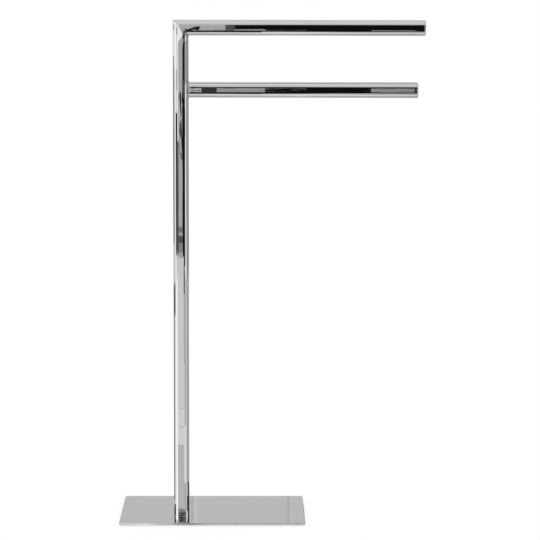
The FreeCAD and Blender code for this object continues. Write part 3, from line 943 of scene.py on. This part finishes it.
CAP_WAVES = (9 * MM, 9 * MM, 9 * MM)
cap_chrome = bright_chrome("bright_chrome_on_moulded_cap", CAP_WAVES, wave_height=0.002 * MM,
                           roughness=0.05)
grip_ribs = rib_tree()
for arm, tube_high, centre in (("upper_arm", upper_high, upper_centre),
                               ("lower_arm", lower_high, lower_centre)):
    cap_low, cap_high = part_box(arm + "_end_cap")
    cap = end_cap(arm + "_cap", tube_high.x, cap_high.x, centre, cap_chrome)
    ribs = made_by_nodes(arm + "_cap_ribs", grip_ribs, Back=cap_low.x - tube_high.x,
                         Top_Back=cap_low.x - tube_high.x + RIB_LEAD_IN,
                         Height=CAP_SPIGOT_INSET - TUBE_WALL, Width=RIB_WIDTH, Spacing=RIB_SPACING,
                         Side_Distance=half_tube - CAP_SPIGOT_INSET,
                         Place=(tube_high.x, centre.y, centre.z), Material=cap_chrome)
    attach(cap, "root")
    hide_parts(arm + "_end_cap")
    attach(ribs, "root")


# ---------------------------------------------------------------- foot plug
# The steel block pressed into the post's foot, which the base screws pull on. Its CAD shape
# is kept; it gets the grey of sawn and milled mild steel, lightly oiled.
PLUG_STEEL = "8E8E8F"
PLUG_SCALE = "6E6C6A"


def milled_steel():
    """Bare steel with fine milling marks across it and darker oily patches."""
    material, tree, place, _, colour = two_tone_material("milled_mild_steel", 7 * MM, 3.0,
                                                         PLUG_SCALE, PLUG_STEEL)
    cutter = add_node(tree, "ShaderNodeTexWave", [("Vector", place)], Scale=1 / (4 * MM),
                      Distortion=1.0)
    bump = add_node(tree, "ShaderNodeBump", [("Height", cutter.outputs["Fac"])], Strength=1.0,
                    Distance=0.01 * MM)
    steel = add_node(tree, "ShaderNodeBsdfPrincipled", [("Base Color", colour), ("Normal", bump)],
                     Metallic=1.0, Roughness=0.38)
    add_node(tree, "ShaderNodeOutputMaterial", [("Surface", steel)])
    return material


for plug_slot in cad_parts["post_foot_plug"].material_slots:
    plug_slot.material = milled_steel()


# ---------------------------------------------------------------- base screws
# Two M5 countersunk socket screws, up through the plate into the plug: bright zinc plated
# steel, their heads just inside the plate's underside, their threads a ridge up a helix.
HEAD_RADIUS = 5 * MM
HEAD_RIM = 0.4 * MM
HEAD_EASE = 0.1 * MM
SHANK_RADIUS = 2.5 * MM
THREAD_CORE = 2.1 * MM
THREAD_PITCH = 0.8 * MM
THREAD_DEPTH = SHANK_RADIUS - THREAD_CORE
POINT_CHAMFER = 0.6 * MM
SOCKET_ACROSS = 3 * MM
SOCKET_DEPTH = 1.9 * MM
ZINC_BRIGHT = "BFC2C6"
ZINC_DULL = "A3A6AA"


def bright_zinc():
    """Bright zinc plate: silvery, a little cloudy, softer than chrome."""
    material, tree, _, cloud, colour = two_tone_material("bright_zinc_plate", 2 * MM, 4.0,
                                                         ZINC_DULL, ZINC_BRIGHT)
    gloss = add_node(tree, "ShaderNodeMapRange", [("Value", cloud)], To_Min=0.2, To_Max=0.36)
    zinc = add_node(tree, "ShaderNodeBsdfPrincipled",
                    [("Base Color", colour), ("Roughness", gloss)], Metallic=1.0)
    add_node(tree, "ShaderNodeOutputMaterial", [("Surface", zinc)])
    return material


def screw_body(name, axis, face, end, material):
    """Head with its six-sided socket, cone, thread core and pointed end."""
    mesh = bmesh.new()
    spoke = SOCKET_ACROSS / math.sqrt(3)
    socket = [axis + spoke * Vector((math.cos(turn * math.pi / 3), math.sin(turn * math.pi / 3)))
              for turn in range(6)]
    mouth = add_ring(mesh, socket, face)
    floor = add_ring(mesh, socket, face + SOCKET_DEPTH)
    join_rings(mesh, mouth, floor, inward=True)
    fill_between(mesh, [floor], upward=False)
    rings = [add_ring(mesh, circle(axis, radius), height) for radius, height in (
        (HEAD_RADIUS - HEAD_EASE, face), (HEAD_RADIUS, face + HEAD_EASE),
        (HEAD_RADIUS, face + HEAD_RIM),
        (SHANK_RADIUS, face + HEAD_RIM + HEAD_RADIUS - SHANK_RADIUS),
        (THREAD_CORE, face + HEAD_RIM + HEAD_RADIUS - THREAD_CORE),
        (THREAD_CORE, end - POINT_CHAMFER), (THREAD_CORE - POINT_CHAMFER, end))]
    for lower, upper in zip(rings, rings[1:]):
        join_rings(mesh, lower, upper)
    fill_between(mesh, [rings[0], mouth], upward=False)
    fill_between(mesh, [rings[-1]], upward=True)
    return finish_mesh(name, mesh, material, sharp_angle=25)


def thread_tree():
    """Ridge of a screw thread on two screws: a V swept up a helix."""
    tree, given = new_shape_tree("screw_threads", ["Core Radius", "Depth", "Height", "Turns"],
                                 First="Vector", Spacing="Vector")
    helix = add_node(tree, "GeometryNodeCurveSpiral",
                     [("Rotations", given["Turns"]), ("Start Radius", given["Core Radius"]),
                      ("End Radius", given["Core Radius"]), ("Height", given["Height"])], Resolution=32)
    upright = add_node(tree, "GeometryNodeSetCurveNormal", [("Curve", helix)], mode="Z_UP")
    ridge = add_node(tree, "GeometryNodeCurvePrimitiveCircle", [("Radius", given["Depth"])],
                     mode="RADIUS", Resolution=4)
    swept = add_node(tree, "GeometryNodeCurveToMesh",
                     [("Curve", upright), ("Profile Curve", ridge)], Fill_Caps=True)
    places = add_node(tree, "GeometryNodeMeshLine",
                      [("Start Location", given["First"]), ("Offset", given["Spacing"])], Count=2)
    both = add_node(tree, "GeometryNodeInstanceOnPoints", [("Points", places), ("Instance", swept)])
    close_shape_tree(tree, both, given, sharp_angle=30)
    return tree


zinc_plate = bright_zinc()
screw_axes = []
for screw in ("base_screw_1", "base_screw_2"):
    screw_low, screw_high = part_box(screw)
    screw_axes.append(((screw_low + screw_high) / 2).to_2d())
    body = screw_body(screw + "_body", screw_axes[-1], screw_low.z, screw_high.z, zinc_plate)
    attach(body, "root")
    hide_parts(screw)
thread_start = screw_low.z + HEAD_RIM + HEAD_RADIUS - THREAD_CORE + THREAD_DEPTH
thread_turns = math.floor((screw_high.z - POINT_CHAMFER - thread_start) / THREAD_PITCH)
screw_step = screw_axes[1] - screw_axes[0]
threads = made_by_nodes("base_screw_threads", thread_tree(), Core_Radius=THREAD_CORE,
                        Depth=THREAD_DEPTH, Height=THREAD_PITCH * thread_turns,
                        Turns=float(thread_turns), Material=zinc_plate,
                        First=(screw_axes[0].x, screw_axes[0].y, thread_start),
                        Spacing=(screw_step.x, screw_step.y, 0))
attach(threads, "root")
